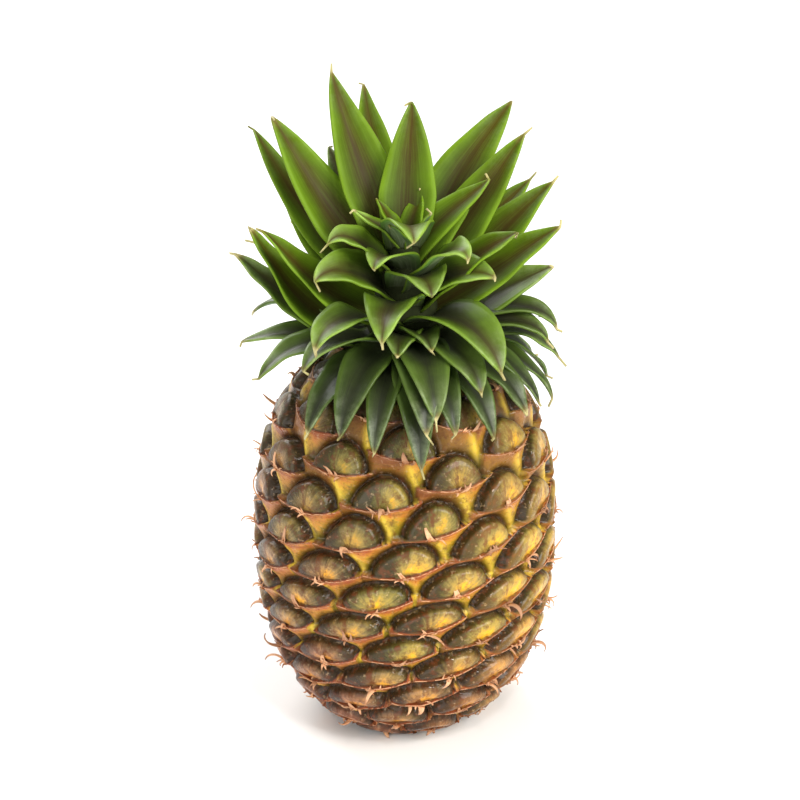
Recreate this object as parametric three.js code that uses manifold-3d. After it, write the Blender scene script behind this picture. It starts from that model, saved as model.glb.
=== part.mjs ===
// A whole pineapple standing on its base: the fruit with its spiral eyes and
// pointed bracts, the leafy crown, and the cut stalk flush with the base.
// Millimetres, +Z up. The origin is the middle of the cut stalk's face, on the
// resting plane. Azimuth 0 faces -Y, and it grows towards +X.
import * as THREE from "three";
import { ConvexHull } from "three/addons/math/ConvexHull.js";
import Module from "manifold-3d";

// Driving dimensions of the fruit
const FRUIT_RADIUS = 60; // to the middle of an eye at the belly
const BELLY_HEIGHT = 85;
const LOWER_HALF = 89; // from the belly down to the bottom pole, just under the resting plane
const UPPER_HALF = 79; // from the belly up to the top pole, just over the crown's seat
const LOWER_SQUARENESS = 2.42; // exponents of the barrel's two superellipse halves
const UPPER_SQUARENESS = 2.4;
const SEAT_HEIGHT = 161; // the flat top that carries the crown

// Driving dimensions of the eyes
const EYE_AREA = 447; // that one eye covers at the belly
const EYE_GROWTH = 0.003; // share by which the area grows with each millimetre of height
const EYE_TURN = -137.595; // degrees from one eye to the next up the spiral
const FIRST_EYE_AZIMUTH = -79.2;
const FIRST_EYE_SHARE = 0.21; // how far up the first eye sits, in eyes
const GROOVE_DEPTH = 4.5;
const DOME_SHARE = 0.76; // the dome's rim, as a share of the way to the groove
const DOME_HEIGHT = -1.2;
const DOME_TILT = 0.9; // the lower half stands prouder than the upper half
const BRACT_SHARE = 0.16; // foot of the bract's point, likewise
const BRACT_HEIGHT = 1;
const BRACT_REACH = 7;
const BRACT_CURL = 3;
const SHADED_ABOVE = 118; // above this height the points lie short under the leaves
const SHADED_REACH = 2.4;
const STALK_CLEAR = 17; // no eye sits closer to the axis at the bottom
const CROWN_CLEAR = 19; // nor at the top

// Driving dimensions of the stalk and the crown's stem
const STALK_RADIUS = 12;
const STALK_LENGTH = 8;
const STALK_SIDES = 24;
const GAP = 0.4;
const STEM_SIDES = 14;
const STEM_RADIUS = 17; // from the seat up to where the taper starts
const STEM_TAPER_FROM = 8; // heights above the seat
const STEM_LENGTH = 44;
const STEM_TOP_RADIUS = 5;

// Driving dimensions of the crown's leaves
const ROOT_SINK = 4; // how deep a leaf's root sits in the stem
const ROOT_NARROWING = 0.55; // a leaf is this much narrower at its root
const ROOT_SPREAD = 4; // and reaches its full width one part in this many along
const LEAF_THICK = 1.9;
const TIP_THINNING = 0.5; // share of the thickness lost on the way to the tip
const LEAF_TROUGH = 0.3; // how far the margins rise, as a share of the half width
const TAPER_LATENESS = 1.5; // exponents of the outline: how late the taper starts
const TAPER_FULLNESS = 0.9; // and how full it stays
const ROOT_STIFFNESS = 0.45; // share of its span that a leaf keeps its first slope for
const TIP_STIFFNESS = 0.3; // and its last slope
const LONG_LEAF = 62; // a leaf longer than this has one step more
const LEAF_STEPS = 4;
const LEAF_CLEAR = 3.2; // least distance from the fruit's mean skin

// The crown's leaves where they show from the front. Each row holds azimuth,
// root height, reach and height of the tip, slope at the root and at the tip,
// width, and how far the blade is rolled about its midrib. Heights are above
// the crown's seat.
const ERECT_LEAVES = [
  [-138, 34, 44, 106, 60, 70, 27, -20],
  [-165, 28, 66, 91, 48, 62, 23, 0],
  [174, 38, 25, 96, 78, 84, 26, 0],
  [140, 30, 68, 87, 60, 34, 26, 20],
  [114, 26, 52, 84, 50, 52, 25, 30],
  [100, 38, 34, 70, 62, 48, 18, 30],
  [104, 20, 61, 66, 34, 40, 26, 35],
  [82, 18, 62, 56, 30, 34, 24, 40],
  [62, 22, 50, 59, 46, 34, 24, 35],
  [131, 20, 68, 56, 34, 30, 22, 20],
  [-113, 28, 58, 91, 40, 54, 27, -30],
  [-126, 18, 76, 78, 30, 52, 20, -20],
  [-130, 14, 67, 57, 30, 50, 24, -20],
  [-88, 8, 62, 54, 4, 56, 25, -30],
  [-74, 16, 58, 57, 20, 46, 24, -35],
];
const HEART_LEAVES = [
  [-78, 42, 21, 61, 66, 50, 9, -20],
  [-56, 32, 36, 52, 50, -50, 20, -30],
  [6, 42, 38, 50, 80, -80, 26, 0],
  [36, 28, 41, 50, 50, -75, 22, 20],
  [-50, 24, 46, 40, 48, -40, 26, -30],
  [-10, 20, 51, 23, 48, -70, 27, 0],
  [50, 24, 46, 42, 46, -10, 25, 30],
  [16, 27, 37, 36, 60, -70, 28, 0],
  [-24, 33, 30, 44, 68, -60, 24, 0],
];
const ARCHED_LEAVES = [
  [96, 12, 60, 33, 18, 20, 24, 30],
  [88, 10, 60, 8, 34, -85, 17, 10],
  [80, 8, 57, 6, 28, -80, 18, 10],
  [95, 6, 62, -7, 20, -60, 19, 10],
  [-97, 6, 69, 38, 4, 36, 22, -25],
  [-89, 4, 66, 3, 10, -16, 18, -15],
  [-68, 5, 62, -4, 18, -60, 20, -10],
  [-46, 6, 55, 6, 30, -60, 22, 0],
  [-38, 12, 56, 17, 44, -75, 26, 0],
  [40, 14, 57, 8, 48, -80, 30, 0],
  [15, 10, 40, 13, 34, -30, 18, 0],
  [33, 10, 54, 1, 34, -70, 24, 0],
  [12, 10, 57, -7, 34, -75, 24, 0],
  [-4, 9, 42, 12, 34, -30, 20, 0],
];
const SKIRT_LEAVES = [
  [-42, 2, 57, -19, 14, -70, 20, 0],
  [-26, 3, 57, -16, 18, -74, 21, 0],
  [-12, 2, 57, -21, 16, -76, 17, 0],
  [6, 2, 60, -26, 16, -76, 20, 0],
  [8, 6, 59, -12, 24, -76, 22, 0],
  [20, 3, 57, -14, 20, -76, 18, 0],
  [38, 2, 56, -20, 16, -76, 19, 0],
  [57, 3, 57, -16, 18, -70, 20, 0],
  [68, 4, 57, -15, 18, -70, 17, 0],
];

// The far side's leaves, which don't show from the front, in four tiers:
// how many, first azimuth, azimuth step and one leaf of the tier.
const FAR_TIERS = [
  [11, 85, 17, [2, 57, -18, 16, -72, 19]],
  [7, 112, 24, [6, 63, 5, 24, -50, 21]],
  [6, 118, 26, [12, 66, 35, 18, 24, 23]],
  [3, 152, 29, [20, 66, 64, 36, 42, 24]],
];
const FAR_SPREAD = 3; // largest random change, in degrees and millimetres
const SEED = 7;

const SKIN_SAMPLES = 500; // of the barrel's outline, used wherever a height is looked up
const BALL_SHAPE = new THREE.Vector3(FRUIT_RADIUS, FRUIT_RADIUS, LOWER_HALF);
const rad = THREE.MathUtils.degToRad;

// Radius of the barrel at a height.
function barrelRadius(z) {
  const above = z > BELLY_HEIGHT;
  const share = Math.abs(z - BELLY_HEIGHT) / (above ? UPPER_HALF : LOWER_HALF);
  const power = above ? UPPER_SQUARENESS : LOWER_SQUARENESS;
  return FRUIT_RADIUS * Math.max(0, 1 - share ** power) ** (1 / power);
}

// The barrel's outline from pole to pole, each sample with the eyes below it.
function traceSkin() {
  const samples = [];
  for (let i = 0; i <= SKIN_SAMPLES; i += 1) {
    const swing = (i / SKIN_SAMPLES - 0.5) * Math.PI;
    const half = swing > 0 ? UPPER_HALF : LOWER_HALF;
    const z = BELLY_HEIGHT + half * Math.sin(swing);
    samples.push({ r: barrelRadius(z), z, eyes: 0 });
  }
  samples.forEach((s, i) => {
    const before = samples[Math.max(0, i - 1)];
    const after = samples[Math.min(SKIN_SAMPLES, i + 1)];
    const slope = Math.atan2(after.z - before.z, after.r - before.r);
    s.normal = [Math.sin(slope), -Math.cos(slope)];
    const area = Math.PI * (s.r + before.r) * Math.hypot(s.r - before.r, s.z - before.z);
    s.eyes = before.eyes + area / (EYE_AREA * (1 + EYE_GROWTH * (s.z - BELLY_HEIGHT)));
  });
  return samples;
}

const skin = traceSkin();
const topPole = skin[SKIN_SAMPLES];

// Unit vectors of an azimuth: away from the axis, and round it.
function directions(azimuth) {
  return {
    out: new THREE.Vector3(Math.sin(azimuth), -Math.cos(azimuth), 0),
    round: new THREE.Vector3(Math.cos(azimuth), Math.sin(azimuth), 0),
  };
}

// A place on the skin with its outward normal and its uphill direction.
function placeOnSkin(sample, azimuth) {
  const { out, round } = directions(azimuth);
  const normal = out.clone().multiplyScalar(sample.normal[0]);
  normal.z = sample.normal[1];
  const point = out.clone().multiplyScalar(sample.r);
  point.z = sample.z;
  return { point, normal, round, uphill: new THREE.Vector3().crossVectors(normal, round) };
}

// The same for the skin's nearest place to any point.
function nearestOnSkin(point) {
  const r = Math.hypot(point.x, point.y);
  let best = skin[0];
  let least = Infinity;
  skin.forEach((s) => {
    const away = Math.hypot(s.r - r, s.z - point.z);
    if (away < least) {
      least = away;
      best = s;
    }
  });
  return placeOnSkin(best, Math.atan2(point.x, -point.y));
}

// Eyes follow one spiral, and they grow a little from the base to the crown.
function placeEyes() {
  const eyes = [];
  for (let i = 0; i < topPole.eyes - FIRST_EYE_SHARE; i += 1) {
    const sample = skin.find((s) => s.eyes >= i + FIRST_EYE_SHARE);
    const clear = sample.z > BELLY_HEIGHT ? CROWN_CLEAR : STALK_CLEAR;
    if (sample.r < clear) continue;
    eyes.push(placeOnSkin(sample, rad(FIRST_EYE_AZIMUTH + EYE_TURN * i)));
  }
  return eyes;
}

function raise(place, height) {
  return place.point.clone().addScaledVector(place.normal, height);
}

const wasm = await Module();
wasm.setup();

function solidOf(points, faces) {
  const vertProperties = new Float32Array(points.flatMap((p) => [p.x, p.y, p.z]));
  return new wasm.Manifold(
    new wasm.Mesh({ numProp: 3, vertProperties, triVerts: new Uint32Array(faces.flat()) }),
  );
}

// The same solid with the pockets closed in between its parts filled up.
function withoutPockets(solid) {
  return solid.decompose().reduce((a, b) => (a.volume() > b.volume() ? a : b));
}

function geometryOf(solid) {
  const mesh = solid.getMesh();
  return new THREE.BufferGeometry()
    .setAttribute("position", new THREE.BufferAttribute(mesh.vertProperties, 3))
    .setIndex(new THREE.BufferAttribute(mesh.triVerts, 1))
    .toNonIndexed();
}

// A lathe turned from [radius, height] pairs, closed on the axis.
function turned(pairs, sides) {
  const rings = pairs.slice(1, -1);
  const points = [new THREE.Vector3(0, 0, pairs[0][1])];
  rings.forEach(([r, z]) => {
    for (let i = 0; i < sides; i += 1) {
      points.push(directions((i / sides) * 2 * Math.PI).out.multiplyScalar(r).setZ(z));
    }
  });
  points.push(new THREE.Vector3(0, 0, pairs.at(-1)[1]));
  const at = (ring, i) => 1 + ring * sides + (i % sides);
  const faces = [];
  for (let i = 0; i < sides; i += 1) {
    faces.push([0, at(0, i + 1), at(0, i)]);
    for (let k = 0; k < rings.length - 1; k += 1) {
      faces.push([at(k, i), at(k, i + 1), at(k + 1, i + 1)]);
      faces.push([at(k, i), at(k + 1, i + 1), at(k + 1, i)]);
    }
    faces.push([at(rings.length - 1, i), at(rings.length - 1, i + 1), points.length - 1]);
  }
  return solidOf(points, faces);
}

// The eyes' cells: each reaches half way to its neighbours. The corners are
// where three cells meet, found from the hull of the eyes on a ball.
function cellsAround(sites) {
  const onBall = sites.map(({ point: p }) =>
    p.clone().setZ(p.z - BELLY_HEIGHT).divide(BALL_SHAPE).normalize(),
  );
  const indexOf = new Map(onBall.map((p, i) => [p, i]));
  const corners = [];
  const cells = sites.map(() => []);
  new ConvexHull().setFromPoints(onBall).faces.forEach((face) => {
    const around = [0, 1, 2].map((k) => indexOf.get(face.getEdge(k).head().point));
    const middle = new THREE.Vector3();
    around.forEach((i) => middle.addScaledVector(sites[i].point, 1 / 3));
    around.forEach((i) => cells[i].push(corners.length));
    corners.push(nearestOnSkin(middle));
  });
  return { corners, cells };
}

// The rind: the cells' corners lie in the groove, a dome's rim and a bract's
// foot climb from them, and the bract's point stands in the middle.
function rind(eyes) {
  const poles = [placeOnSkin(skin[0], 0), placeOnSkin(topPole, 0)];
  const sites = [...eyes, ...poles];
  const { corners, cells } = cellsAround(sites);
  const points = corners.map((c) => raise(c, -GROOVE_DEPTH));
  const faces = [];
  cells.forEach((cell, i) => {
    const site = sites[i];
    const bearing = (c) => {
      const step = corners[c].point.clone().sub(site.point);
      return Math.atan2(step.dot(site.uphill), step.dot(site.round));
    };
    const ring = (share, height) =>
      cell.map((c) => {
        const between = site.point.clone().lerp(corners[c].point, share);
        const tilted = height - DOME_TILT * Math.sin(bearing(c));
        return points.push(raise(nearestOnSkin(between), tilted)) - 1;
      });
    cell.sort((a, b) => bearing(a) - bearing(b));
    const bald = i >= eyes.length;
    const rings = [cell, ring(DOME_SHARE, DOME_HEIGHT)];
    if (!bald) rings.push(ring(BRACT_SHARE, BRACT_HEIGHT));
    const top = points.push(bald ? site.point : bractTip(site)) - 1;
    cell.forEach((_, k) => {
      const next = (k + 1) % cell.length;
      for (let s = 0; s < rings.length - 1; s += 1) {
        faces.push([rings[s][k], rings[s][next], rings[s + 1][next]]);
        faces.push([rings[s][k], rings[s + 1][next], rings[s + 1][k]]);
      }
      faces.push([rings.at(-1)[k], rings.at(-1)[next], top]);
    });
  });
  return solidOf(points, faces);
}

// The dry point of an eye's bract, which curls upwards away from the skin.
function bractTip(eye) {
  const shaded = eye.point.z > SHADED_ABOVE;
  const reach = shaded ? SHADED_REACH : BRACT_REACH;
  return raise(eye, reach).addScaledVector(eye.uphill, BRACT_CURL);
}

// A round plug on the axis between two heights.
function plug(radius, bottom, top) {
  return turned([[0, bottom], [radius, bottom], [radius, top], [0, top]], STALK_SIDES);
}

function buildFruit() {
  const socket = plug(STALK_RADIUS + GAP, -1, STALK_LENGTH + GAP);
  return rind(placeEyes())
    .trimByPlane([0, 0, 1], 0)
    .trimByPlane([0, 0, -1], -SEAT_HEIGHT)
    .subtract(socket);
}

function buildStalk() {
  return plug(STALK_RADIUS, 0, STALK_LENGTH);
}

// A small seeded random draw between -1 and 1.
function randomFrom(seed) {
  let state = seed;
  return () => {
    state = (state * 16807) % 2147483647;
    return (state / 2147483647) * 2 - 1;
  };
}

function farLeaves() {
  const random = randomFrom(SEED);
  return FAR_TIERS.flatMap(([count, first, step, leaf]) =>
    Array.from({ length: count }, (_, i) => {
      const [root, reach, tip, launch, end, width] = leaf;
      return [
        first + step * i + FAR_SPREAD * random(),
        root,
        reach + FAR_SPREAD * random(),
        tip + FAR_SPREAD * random(),
        launch,
        end,
        width,
        0,
      ];
    }),
  );
}

// Radius of the crown's stem at a height above the seat.
function stemRadius(height) {
  const share = (height - STEM_TAPER_FROM) / (STEM_LENGTH - STEM_TAPER_FROM);
  return THREE.MathUtils.lerp(STEM_RADIUS, STEM_TOP_RADIUS, Math.max(0, share));
}

// A section of a leaf moved off the fruit as a whole, where it lies too close.
function clearOfFruit(section) {
  const shortfalls = section.map((p) => {
    const { point, normal } = nearestOnSkin(p);
    const away = p.clone().sub(point).dot(normal);
    return normal.multiplyScalar(Math.max(0, LEAF_CLEAR - away));
  });
  const push = shortfalls.reduce((a, b) => (a.length() > b.length() ? a : b));
  return section.map((p) => p.add(push));
}

// The middle line of a leaf: it leaves the stem at one slope and ends at another.
function midline([azimuth, root, reach, tip, launch, end]) {
  const { out } = directions(rad(azimuth));
  const at = (away, height) => out.clone().multiplyScalar(away).setZ(SEAT_HEIGHT + height);
  const slope = (angle) => out.clone().multiplyScalar(Math.cos(rad(angle))).setZ(Math.sin(rad(angle)));
  const from = at(stemRadius(root) - ROOT_SINK, root);
  const to = at(reach, tip);
  const span = from.distanceTo(to);
  return new THREE.CubicBezierCurve3(
    from,
    from.clone().addScaledVector(slope(launch), ROOT_STIFFNESS * span),
    to.clone().addScaledVector(slope(end), -TIP_STIFFNESS * span),
    to,
  );
}

// The four corners of a leaf's section: left margin, keel, right margin, trough.
function leafSection(curve, t, azimuth, width, roll) {
  const along = curve.getTangent(t);
  const { round } = directions(rad(azimuth));
  const side = round.negate().applyAxisAngle(along, rad(roll));
  const face = new THREE.Vector3().crossVectors(side, along);
  const waist = 1 - ROOT_NARROWING * Math.max(0, 1 - ROOT_SPREAD * t);
  const half = (width / 2) * waist * (1 - t ** TAPER_LATENESS) ** TAPER_FULLNESS;
  const thick = LEAF_THICK * (1 - TIP_THINNING * t);
  const corner = (across, up) =>
    curve.getPoint(t).addScaledVector(side, across).addScaledVector(face, up);
  return [
    corner(-half, LEAF_TROUGH * half),
    corner(0, -thick / 2),
    corner(half, LEAF_TROUGH * half),
    corner(0, thick / 2),
  ];
}

// A blade: a closed trough that tapers from its root to a point, and is split
// into triangles alike on both faces.
function blade(leaf) {
  const curve = midline(leaf);
  const [azimuth, , , , , , width, roll] = leaf;
  const steps = curve.v0.distanceTo(curve.v3) > LONG_LEAF ? LEAF_STEPS + 1 : LEAF_STEPS;
  const points = [];
  for (let i = 0; i < steps; i += 1) {
    points.push(...clearOfFruit(leafSection(curve, i / steps, azimuth, width, roll)));
  }
  points.push(...clearOfFruit([curve.v3]));

  const faces = [[0, 1, 3], [1, 2, 3]];
  const corners = (step) => [0, 1, 2, 3].map((k) => 4 * step + k);
  for (let i = 0; i < steps - 1; i += 1) {
    const [left, keel, right, trough] = corners(i);
    const [nextLeft, nextKeel, nextRight, nextTrough] = corners(i + 1);
    faces.push([left, nextKeel, keel], [left, nextLeft, nextKeel]);
    faces.push([keel, nextKeel, right], [nextKeel, nextRight, right]);
    faces.push([right, nextRight, nextTrough], [right, nextTrough, trough]);
    faces.push([trough, nextTrough, left], [nextTrough, nextLeft, left]);
  }
  const tip = points.length - 1;
  const [left, keel, right, trough] = corners(steps - 1);
  faces.push([left, tip, keel], [keel, tip, right], [right, tip, trough], [trough, tip, left]);
  return solidOf(points, faces);
}

function buildCrown() {
  const leaves = [
    ...ERECT_LEAVES,
    ...HEART_LEAVES,
    ...ARCHED_LEAVES,
    ...SKIRT_LEAVES,
    ...farLeaves(),
  ];
  const stem = turned(
    [
      [0, SEAT_HEIGHT + GAP],
      [STEM_RADIUS, SEAT_HEIGHT + GAP],
      [STEM_RADIUS, SEAT_HEIGHT + STEM_TAPER_FROM],
      [STEM_TOP_RADIUS, SEAT_HEIGHT + STEM_LENGTH],
      [0, SEAT_HEIGHT + STEM_LENGTH],
    ],
    STEM_SIDES,
  );
  return withoutPockets(wasm.Manifold.union([stem, ...leaves.map(blade)]));
}

function piece(name, solid, color, roughness) {
  const mesh = new THREE.Mesh(
    geometryOf(solid),
    new THREE.MeshStandardMaterial({ color, roughness, metalness: 0, flatShading: true }),
  );
  mesh.name = name;
  return mesh;
}

const pineapple = new THREE.Group();
pineapple.add(
  piece("fruit", buildFruit(), 0xb0822e, 0.55),
  piece("stalk", buildStalk(), 0xb59a6a, 0.9),
  piece("crown", buildCrown(), 0x4f7a24, 0.5),
);

export default pineapple;
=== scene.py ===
"""A whole pineapple on a pale floor: the rind with its raised eyes, the dry bracts,
the leafy crown and the cut stalk. Lengths in the geometry code are millimetres, and
everything that reaches Blender is metres."""

from math import cos, pi, radians, sin

import bmesh
import bpy
import numpy as np
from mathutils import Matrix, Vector


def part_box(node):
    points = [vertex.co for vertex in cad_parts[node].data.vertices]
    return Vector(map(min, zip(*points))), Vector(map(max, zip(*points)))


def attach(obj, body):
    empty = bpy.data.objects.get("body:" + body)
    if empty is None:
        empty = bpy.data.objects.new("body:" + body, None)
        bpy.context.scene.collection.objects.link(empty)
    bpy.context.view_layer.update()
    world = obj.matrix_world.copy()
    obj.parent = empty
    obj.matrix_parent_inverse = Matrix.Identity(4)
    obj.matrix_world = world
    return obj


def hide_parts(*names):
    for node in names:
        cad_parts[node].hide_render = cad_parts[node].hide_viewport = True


bl_info = {
    "name": "Pineapple",
    "version": (1, 0, 0),
    "blender": (4, 5, 0),
    "location": "3D View > Sidebar > Pineapple",
    "description": "A whole pineapple with a fine rind, dry bracts and a leafy crown",
    "category": "Add Mesh",
}

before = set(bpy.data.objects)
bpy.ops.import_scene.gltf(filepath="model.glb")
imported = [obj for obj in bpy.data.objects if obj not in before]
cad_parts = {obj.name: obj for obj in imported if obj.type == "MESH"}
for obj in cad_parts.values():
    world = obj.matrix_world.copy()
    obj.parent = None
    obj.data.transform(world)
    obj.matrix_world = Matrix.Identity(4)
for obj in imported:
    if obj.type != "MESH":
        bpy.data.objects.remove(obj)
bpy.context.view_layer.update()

MM = 0.001
SEED = 11

# The barrel and its eyes, as in the solids
FRUIT_RADIUS = 60
BELLY_HEIGHT = 85
LOWER_HALF = 89
UPPER_HALF = 79
LOWER_SQUARENESS = 2.42
UPPER_SQUARENESS = 2.4
SEAT_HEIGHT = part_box("fruit")[1].z / MM
EYE_AREA = 447
EYE_GROWTH = 0.003
EYE_TURN = radians(-137.595)
FIRST_EYE_AZIMUTH = radians(-79.2)
FIRST_EYE_SHARE = 0.21
STALK_CLEAR = 17
CROWN_CLEAR = 19
STALK_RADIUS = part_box("stalk")[1].x / MM
STALK_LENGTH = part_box("stalk")[1].z / MM
STALK_GAP = 0.6

# The crown's stem and leaves, as in the solids but for small shifts that keep leaves apart
STEM_RADIUS = 17
STEM_TAPER_FROM = 8
STEM_LENGTH = 44
STEM_TOP_RADIUS = 5
ROOT_SINK = 4
ROOT_STIFFNESS = 0.45
TIP_STIFFNESS = 0.3
LEAF_CLEAR = 3.0
CLEAR_STEP = 1.6  # a leaf lies this much further out for each mm that its root is higher
CLEAR_MORE = 4.0

# One row for each leaf: azimuth, root height, reach and height of the tip, slope at
# the root and at the tip, width and roll. Heights are above the crown's seat.
ERECT_LEAVES = [
    (-138, 34, 44, 106, 60, 70, 27, -20),
    (-165, 28, 66, 91, 48, 62, 23, 0),
    (174, 38, 25, 96, 78, 84, 26, 0),
    (140, 30, 68, 87, 60, 34, 26, 20),
    (114, 26, 52, 84, 50, 52, 25, 30),
    (100, 38, 34, 70, 62, 48, 18, 30),
    (104, 20, 61, 66, 34, 40, 26, 35),
    (82, 18, 62, 56, 30, 34, 24, 40),
    (62, 22, 50, 59, 46, 34, 24, 35),
    (131, 20, 68, 56, 34, 30, 22, 20),
    (-113, 28, 58, 91, 40, 54, 27, -30),
    (-126, 18, 76, 78, 30, 52, 20, -20),
    (-130, 14, 67, 57, 30, 50, 24, -20),
    (-88, 8, 62, 54, 4, 56, 25, -30),
    (-74, 16, 58, 57, 20, 46, 24, -35),
]
HEART_LEAVES = [
    (-78, 42, 21, 61, 66, 50, 9, -20),
    (-56, 32, 36, 52, 50, -50, 20, -30),
    (6, 42, 33, 57, 80, -40, 24, 0),
    (36, 28, 41, 50, 50, -75, 22, 20),
    (-50, 24, 46, 40, 48, -40, 26, -30),
    (-10, 20, 51, 23, 48, -70, 27, 0),
    (50, 24, 46, 42, 46, -10, 25, 30),
    (16, 27, 37, 36, 60, -70, 28, 0),
    (-24, 33, 30, 44, 68, -60, 24, 0),
]
ARCHED_LEAVES = [
    (96, 12, 60, 33, 18, 20, 24, 30),
    (88, 10, 60, 8, 34, -85, 17, 10),
    (80, 8, 57, 6, 28, -80, 18, 10),
    (95, 6, 62, -7, 20, -60, 19, 10),
    (-97, 6, 69, 38, 4, 36, 22, -25),
    (-89, 4, 66, 3, 10, -16, 18, -15),
    (-68, 5, 62, -4, 18, -60, 20, -10),
    (-46, 6, 55, 6, 30, -60, 22, 0),
    (-38, 12, 56, 17, 44, -75, 26, 0),
    (40, 14, 57, 8, 48, -80, 30, 0),
    (15, 11, 40, 15, 34, -30, 18, 0),
    (33, 8, 54, 0, 30, -70, 24, 0),
    (12, 7, 57, -7, 30, -75, 24, 0),
    (-4, 10, 42, 14, 34, -30, 20, 0),
]
SKIRT_LEAVES = [
    (-42, 2, 57, -19, 14, -70, 20, 0),
    (-26, 5, 57, -16, 22, -74, 22, 0),
    (-12, 2, 57, -21, 16, -76, 17, 0),
    (6, 2, 60, -26, 16, -76, 20, 0),
    (8, 6, 59, -12, 24, -76, 22, 0),
    (20, 3, 57, -14, 20, -76, 18, 0),
    (38, 2, 56, -20, 16, -76, 19, 0),
    (57, 3, 57, -16, 18, -70, 20, 0),
    (68, 4, 57, -15, 18, -70, 17, 0),
]
FAR_TIERS = [
    (11, 85, 17, (2, 57, -18, 16, -72, 19)),
    (7, 112, 24, (6, 63, 5, 24, -50, 21)),
    (6, 118, 26, (12, 66, 35, 18, 24, 23)),
    (3, 152, 29, (20, 66, 64, 36, 42, 24)),
]
FAR_SPREAD = 3
FAR_SEED = 7

# A few young leaves round the growing point, too small to show in the solids
BUD_LEAVES = [
    (-30, 41, 13, 57, 70, 40, 11, 0),
    (60, 42, 12, 60, 74, 60, 11, 10),
    (150, 42, 13, 64, 78, 70, 12, 0),
    (-110, 42, 12, 62, 76, 60, 11, -10),
]
# 0 for a young leaf and 1 for an old one
HEART_AGES = [0.1, 0.2, 0.05, 0.2, 0.2, 0.35, 0.15, 0.4, 0.2]
ARCHED_AGES = [0.5, 0.85, 0.8, 0.85, 0.5, 0.8, 0.8, 0.85, 0.4, 0.4, 0.8, 0.85, 0.98, 0.7]
LEAF_COLUMNS = 10
LEAF_ROWS = 32
TIP_FROM = 0.965  # beyond this share of its length a leaf is one dry thread

# The rind's relief
SKIN_COLUMNS = 384
SKIN_ROWS = 256
NEAR_EYES = 7
CELL_SQUASH = 1.3  # heights count this much more than widths when cells are shared out
DOME_ROUNDNESS = 3.0  # how far in from its rim a dome still curves down
DOME_POWER = 1.75
CREASE_DEPTH = 1.0
CREASE_WIDTH = 1.1
DOME_HOLLOW = 1.1  # a dome sinks this much towards its middle
KEEL_WIDTH = 1.5
SHADED_DEPTH = 20  # over this much height the relief fades
MARGIN_SAG = 3.0
DOME_SHARE = 0.68  # of the way from a bract's margin to the cell's top, and more near the crown
SHADED_ABOVE = 132  # the relief fades from this height up to the crown
MARGIN_COLUMNS = 24
POINT_STEPS = 60  # a dry point's curl is traced in this many steps
SKIN_CLEAR = 0.2  # between the rind and the floor, which the stalk alone touches


def linear(hex_colour):
    """An sRGB hex colour as the linear RGBA that Blender works in."""
    parts = [int(hex_colour[i : i + 2], 16) / 255 for i in (1, 3, 5)]
    return [c / 12.92 if c <= 0.04045 else ((c + 0.055) / 1.055) ** 2.4 for c in parts] + [1.0]


def smooth(low, high, x):
    """0 below low, 1 above high, and an even step between them."""
    t = np.clip((x - low) / (high - low), 0, 1)
    return t * t * (3 - 2 * t)


def texture_scale(size):
    """The scale at which a texture's patches have a size in millimetres."""
    return 1 / (size * MM)


# Settings


class RindSettings(bpy.types.PropertyGroup):
    """Relief and colours of the rind."""

    groove_depth: bpy.props.FloatProperty(
        name="Groove depth", description="Grooves under the mean skin", default=0.0046, unit="LENGTH"
    )
    dome_rise: bpy.props.FloatProperty(
        name="Dome rise",
        description="An eye's shoulder over the mean skin", default=0.0016, unit="LENGTH"
    )
    bract_rise: bpy.props.FloatProperty(
        name="Bract rise",
        description="A bract's margin over the mean skin", default=0.0017, unit="LENGTH"
    )
    ridge_rise: bpy.props.FloatProperty(
        name="Ridge rise",
        description="The keel down the middle of a bract", default=0.0009, unit="LENGTH"
    )
    blush: bpy.props.FloatVectorProperty(
        name="Blush",
        description="Ripe middle of an eye", subtype="COLOR", size=4, default=linear("#EEB424")
    )
    olive: bpy.props.FloatVectorProperty(
        name="Olive",
        description="Flank of a fresh eye", subtype="COLOR", size=4, default=linear("#7A6E36")
    )
    tan: bpy.props.FloatVectorProperty(
        name="Tan",
        description="Flank of a browned eye", subtype="COLOR", size=4, default=linear("#704834")
    )
    bract: bpy.props.FloatVectorProperty(
        name="Bract",
        description="Fleshy face of a bract", subtype="COLOR", size=4, default=linear("#C49226")
    )
    keel: bpy.props.FloatVectorProperty(
        name="Keel", description="Keel of a bract", subtype="COLOR", size=4, default=linear("#EAC63C")
    )
    # painted shade: near-black stands in for the shade in the grooves
    groove: bpy.props.FloatVectorProperty(
        name="Groove",
        description="Grooves between eyes", subtype="COLOR", size=4, default=linear("#30220C")
    )


class BractSettings(bpy.types.PropertyGroup):
    """Size and colours of the dry bract edges and points."""

    length: bpy.props.FloatProperty(
        name="Length", description="Length of the longest points", default=0.012, unit="LENGTH"
    )
    width: bpy.props.FloatProperty(
        name="Width", description="Width of a point at its root", default=0.0028, unit="LENGTH"
    )
    thickness: bpy.props.FloatProperty(
        name="Thickness", description="Thickness of the dry tissue", default=0.0003, unit="LENGTH"
    )
    hem: bpy.props.FloatVectorProperty(
        name="Hem", description="Free edge of a bract", subtype="COLOR", size=4, default=linear("#7E3A1E")
    )
    straw: bpy.props.FloatVectorProperty(
        name="Straw", description="Dry points", subtype="COLOR", size=4, default=linear("#DCAA80")
    )


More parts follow.
